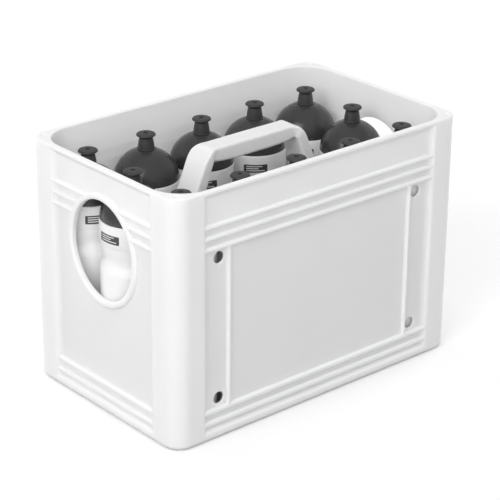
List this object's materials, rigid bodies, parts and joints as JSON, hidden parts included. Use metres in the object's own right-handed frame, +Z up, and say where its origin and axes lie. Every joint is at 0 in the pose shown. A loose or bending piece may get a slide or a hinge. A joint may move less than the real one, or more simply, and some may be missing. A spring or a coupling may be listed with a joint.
{
  "type": "bottle caddy",
  "caption": "Rectangular moulded bottle crate with recessed ribbed walls, oval hand holes and a centre carry handle, filled with lift-out sports bottles with screw caps and push-pull spouts.",
  "frame": {"origin": "middle of the footprint, on the surface that the crate stands on", "axes": "+X along the long side, +Y across, +Z up"},
  "size_m": [0.4, 0.247, 0.2798],
  "materials": {
    "crate_plastic": "white moulded polypropylene, fine satin",
    "handle_plastic": "white moulded polypropylene, fine satin",
    "divider_plastic": "white sheet polypropylene, satin",
    "bottle_plastic": "white blown polyethylene, soft satin",
    "cap_plastic": "black moulded polypropylene, satin",
    "spout_rubber": "black soft elastomer, matt",
    "seal_rubber": "translucent grey silicone"
  },
  "bodies": {
    "crate": {"crate_shell": "crate_plastic", "carry_handle": "handle_plastic", "long_divider_front": "divider_plastic", "long_divider_back": "divider_plastic", "cross_divider_1": "divider_plastic", "cross_divider_2": "divider_plastic", "cross_divider_3": "divider_plastic", "cross_divider_4": "divider_plastic"},
    "bottle_01": {"bottle_body_01": "bottle_plastic"},
    "seal_01": {"seal_01": "seal_rubber"},
    "cap_01": {"cap_01": "cap_plastic"},
    "spout_01": {"spout_01": "spout_rubber"},
    "bottle_02": {"bottle_body_02": "bottle_plastic"},
    "seal_02": {"seal_02": "seal_rubber"},
    "cap_02": {"cap_02": "cap_plastic"},
    "spout_02": {"spout_02": "spout_rubber"},
    "bottle_03": {"bottle_body_03": "bottle_plastic"},
    "seal_03": {"seal_03": "seal_rubber"},
    "cap_03": {"cap_03": "cap_plastic"},
    "spout_03": {"spout_03": "spout_rubber"},
    "bottle_04": {"bottle_body_04": "bottle_plastic"},
    "seal_04": {"seal_04": "seal_rubber"},
    "cap_04": {"cap_04": "cap_plastic"},
    "spout_04": {"spout_04": "spout_rubber"},
    "bottle_05": {"bottle_body_05": "bottle_plastic"},
    "seal_05": {"seal_05": "seal_rubber"},
    "cap_05": {"cap_05": "cap_plastic"},
    "spout_05": {"spout_05": "spout_rubber"},
    "bottle_06": {"bottle_body_06": "bottle_plastic"},
    "seal_06": {"seal_06": "seal_rubber"},
    "cap_06": {"cap_06": "cap_plastic"},
    "spout_06": {"spout_06": "spout_rubber"},
    "bottle_07": {"bottle_body_07": "bottle_plastic"},
    "seal_07": {"seal_07": "seal_rubber"},
    "cap_07": {"cap_07": "cap_plastic"},
    "spout_07": {"spout_07": "spout_rubber"},
    "bottle_08": {"bottle_body_08": "bottle_plastic"},
    "seal_08": {"seal_08": "seal_rubber"},
    "cap_08": {"cap_08": "cap_plastic"},
    "spout_08": {"spout_08": "spout_rubber"},
    "bottle_09": {"bottle_body_09": "bottle_plastic"},
    "seal_09": {"seal_09": "seal_rubber"},
    "cap_09": {"cap_09": "cap_plastic"},
    "spout_09": {"spout_09": "spout_rubber"},
    "bottle_10": {"bottle_body_10": "bottle_plastic"},
    "seal_10": {"seal_10": "seal_rubber"},
    "cap_10": {"cap_10": "cap_plastic"},
    "spout_10": {"spout_10": "spout_rubber"},
    "bottle_11": {"bottle_body_11": "bottle_plastic"},
    "seal_11": {"seal_11": "seal_rubber"},
    "cap_11": {"cap_11": "cap_plastic"},
    "spout_11": {"spout_11": "spout_rubber"},
    "bottle_12": {"bottle_body_12": "bottle_plastic"},
    "seal_12": {"seal_12": "seal_rubber"},
    "cap_12": {"cap_12": "cap_plastic"},
    "spout_12": {"spout_12": "spout_rubber"}
  },
  "joints": [
    {"name": "bottle_lift_01", "type": "slide", "parent": "crate", "child": "bottle_01", "axis": [0, 0, 1], "range_m": [0, 0.28]},
    {"name": "seal_rise_01", "type": "slide", "parent": "bottle_01", "child": "seal_01", "axis": [0, 0, 1], "range_m": [0, 0.0138]},
    {"name": "cap_turn_01", "type": "hinge", "parent": "seal_01", "child": "cap_01", "pos_m": [-0.1552, -0.0783, 0.2149], "axis": [0, 0, 1], "range_deg": [0, 990]},
    {"name": "spout_pull_01", "type": "slide", "parent": "cap_01", "child": "spout_01", "axis": [0, 0, 1], "range_m": [0, 0.006]},
    {"name": "bottle_lift_02", "type": "slide", "parent": "crate", "child": "bottle_02", "axis": [0, 0, 1], "range_m": [0, 0.28]},
    {"name": "seal_rise_02", "type": "slide", "parent": "bottle_02", "child": "seal_02", "axis": [0, 0, 1], "range_m": [0, 0.0138]},
    {"name": "cap_turn_02", "type": "hinge", "parent": "seal_02", "child": "cap_02", "pos_m": [-0.0776, -0.0783, 0.2149], "axis": [0, 0, 1], "range_deg": [0, 990]},
    {"name": "spout_pull_02", "type": "slide", "parent": "cap_02", "child": "spout_02", "axis": [0, 0, 1], "range_m": [0, 0.006]},
    {"name": "bottle_lift_03", "type": "slide", "parent": "crate", "child": "bottle_03", "axis": [0, 0, 1], "range_m": [0, 0.28]},
    {"name": "seal_rise_03", "type": "slide", "parent": "bottle_03", "child": "seal_03", "axis": [0, 0, 1], "range_m": [0, 0.0138]},
    {"name": "cap_turn_03", "type": "hinge", "parent": "seal_03", "child": "cap_03", "pos_m": [0, -0.0783, 0.2149], "axis": [0, 0, 1], "range_deg": [0, 990]},
    {"name": "spout_pull_03", "type": "slide", "parent": "cap_03", "child": "spout_03", "axis": [0, 0, 1], "range_m": [0, 0.006]},
    {"name": "bottle_lift_04", "type": "slide", "parent": "crate", "child": "bottle_04", "axis": [0, 0, 1], "range_m": [0, 0.28]},
    {"name": "seal_rise_04", "type": "slide", "parent": "bottle_04", "child": "seal_04", "axis": [0, 0, 1], "range_m": [0, 0.0138]},
    {"name": "cap_turn_04", "type": "hinge", "parent": "seal_04", "child": "cap_04", "pos_m": [0.0776, -0.0783, 0.2149], "axis": [0, 0, 1], "range_deg": [0, 990]},
    {"name": "spout_pull_04", "type": "slide", "parent": "cap_04", "child": "spout_04", "axis": [0, 0, 1], "range_m": [0, 0.006]},
    {"name": "bottle_lift_05", "type": "slide", "parent": "crate", "child": "bottle_05", "axis": [0, 0, 1], "range_m": [0, 0.28]},
    {"name": "seal_rise_05", "type": "slide", "parent": "bottle_05", "child": "seal_05", "axis": [0, 0, 1], "range_m": [0, 0.0138]},
    {"name": "cap_turn_05", "type": "hinge", "parent": "seal_05", "child": "cap_05", "pos_m": [0.1552, -0.0783, 0.2149], "axis": [0, 0, 1], "range_deg": [0, 990]},
    {"name": "spout_pull_05", "type": "slide", "parent": "cap_05", "child": "spout_05", "axis": [0, 0, 1], "range_m": [0, 0.006]},
    {"name": "bottle_lift_06", "type": "slide", "parent": "crate", "child": "bottle_06", "axis": [0, 0, 1], "range_m": [0, 0.28]},
    {"name": "seal_rise_06", "type": "slide", "parent": "bottle_06", "child": "seal_06", "axis": [0, 0, 1], "range_m": [0, 0.0138]},
    {"name": "cap_turn_06", "type": "hinge", "parent": "seal_06", "child": "cap_06", "pos_m": [-0.1552, 0, 0.2149], "axis": [0, 0, 1], "range_deg": [0, 990]},
    {"name": "spout_pull_06", "type": "slide", "parent": "cap_06", "child": "spout_06", "axis": [0, 0, 1], "range_m": [0, 0.006]},
    {"name": "bottle_lift_07", "type": "slide", "parent": "crate", "child": "bottle_07", "axis": [0, 0, 1], "range_m": [0, 0.28]},
    {"name": "seal_rise_07", "type": "slide", "parent": "bottle_07", "child": "seal_07", "axis": [0, 0, 1], "range_m": [0, 0.0138]},
    {"name": "cap_turn_07", "type": "hinge", "parent": "seal_07", "child": "cap_07", "pos_m": [0.1552, 0, 0.2149], "axis": [0, 0, 1], "range_deg": [0, 990]},
    {"name": "spout_pull_07", "type": "slide", "parent": "cap_07", "child": "spout_07", "axis": [0, 0, 1], "range_m": [0, 0.006]},
    {"name": "bottle_lift_08", "type": "slide", "parent": "crate", "child": "bottle_08", "axis": [0, 0, 1], "range_m": [0, 0.28]},
    {"name": "seal_rise_08", "type": "slide", "parent": "bottle_08", "child": "seal_08", "axis": [0, 0, 1], "range_m": [0, 0.0138]},
    {"name": "cap_turn_08", "type": "hinge", "parent": "seal_08", "child": "cap_08", "pos_m": [-0.1552, 0.0783, 0.2149], "axis": [0, 0, 1], "range_deg": [0, 990]},
    {"name": "spout_pull_08", "type": "slide", "parent": "cap_08", "child": "spout_08", "axis": [0, 0, 1], "range_m": [0, 0.006]},
    {"name": "bottle_lift_09", "type": "slide", "parent": "crate", "child": "bottle_09", "axis": [0, 0, 1], "range_m": [0, 0.28]},
    {"name": "seal_rise_09", "type": "slide", "parent": "bottle_09", "child": "seal_09", "axis": [0, 0, 1], "range_m": [0, 0.0138]},
    {"name": "cap_turn_09", "type": "hinge", "parent": "seal_09", "child": "cap_09", "pos_m": [-0.0776, 0.0783, 0.2149], "axis": [0, 0, 1], "range_deg": [0, 990]},
    {"name": "spout_pull_09", "type": "slide", "parent": "cap_09", "child": "spout_09", "axis": [0, 0, 1], "range_m": [0, 0.006]},
    {"name": "bottle_lift_10", "type": "slide", "parent": "crate", "child": "bottle_10", "axis": [0, 0, 1], "range_m": [0, 0.28]},
    {"name": "seal_rise_10", "type": "slide", "parent": "bottle_10", "child": "seal_10", "axis": [0, 0, 1], "range_m": [0, 0.0138]},
    {"name": "cap_turn_10", "type": "hinge", "parent": "seal_10", "child": "cap_10", "pos_m": [0, 0.0783, 0.2149], "axis": [0, 0, 1], "range_deg": [0, 990]},
    {"name": "spout_pull_10", "type": "slide", "parent": "cap_10", "child": "spout_10", "axis": [0, 0, 1], "range_m": [0, 0.006]},
    {"name": "bottle_lift_11", "type": "slide", "parent": "crate", "child": "bottle_11", "axis": [0, 0, 1], "range_m": [0, 0.28]},
    {"name": "seal_rise_11", "type": "slide", "parent": "bottle_11", "child": "seal_11", "axis": [0, 0, 1], "range_m": [0, 0.0138]},
    {"name": "cap_turn_11", "type": "hinge", "parent": "seal_11", "child": "cap_11", "pos_m": [0.0776, 0.0783, 0.2149], "axis": [0, 0, 1], "range_deg": [0, 990]},
    {"name": "spout_pull_11", "type": "slide", "parent": "cap_11", "child": "spout_11", "axis": [0, 0, 1], "range_m": [0, 0.006]},
    {"name": "bottle_lift_12", "type": "slide", "parent": "crate", "child": "bottle_12", "axis": [0, 0, 1], "range_m": [0, 0.28]},
    {"name": "seal_rise_12", "type": "slide", "parent": "bottle_12", "child": "seal_12", "axis": [0, 0, 1], "range_m": [0, 0.0138]},
    {"name": "cap_turn_12", "type": "hinge", "parent": "seal_12", "child": "cap_12", "pos_m": [0.1552, 0.0783, 0.2149], "axis": [0, 0, 1], "range_deg": [0, 990]},
    {"name": "spout_pull_12", "type": "slide", "parent": "cap_12", "child": "spout_12", "axis": [0, 0, 1], "range_m": [0, 0.006]}
  ],
  "couplings": [
    {"joint": "seal_rise_01", "follows": "cap_turn_01", "m_per_rad": 0.00079577},
    {"joint": "seal_rise_02", "follows": "cap_turn_02", "m_per_rad": 0.00079577},
    {"joint": "seal_rise_03", "follows": "cap_turn_03", "m_per_rad": 0.00079577},
    {"joint": "seal_rise_04", "follows": "cap_turn_04", "m_per_rad": 0.00079577},
    {"joint": "seal_rise_05", "follows": "cap_turn_05", "m_per_rad": 0.00079577},
    {"joint": "seal_rise_06", "follows": "cap_turn_06", "m_per_rad": 0.00079577},
    {"joint": "seal_rise_07", "follows": "cap_turn_07", "m_per_rad": 0.00079577},
    {"joint": "seal_rise_08", "follows": "cap_turn_08", "m_per_rad": 0.00079577},
    {"joint": "seal_rise_09", "follows": "cap_turn_09", "m_per_rad": 0.00079577},
    {"joint": "seal_rise_10", "follows": "cap_turn_10", "m_per_rad": 0.00079577},
    {"joint": "seal_rise_11", "follows": "cap_turn_11", "m_per_rad": 0.00079577},
    {"joint": "seal_rise_12", "follows": "cap_turn_12", "m_per_rad": 0.00079577}
  ]
}
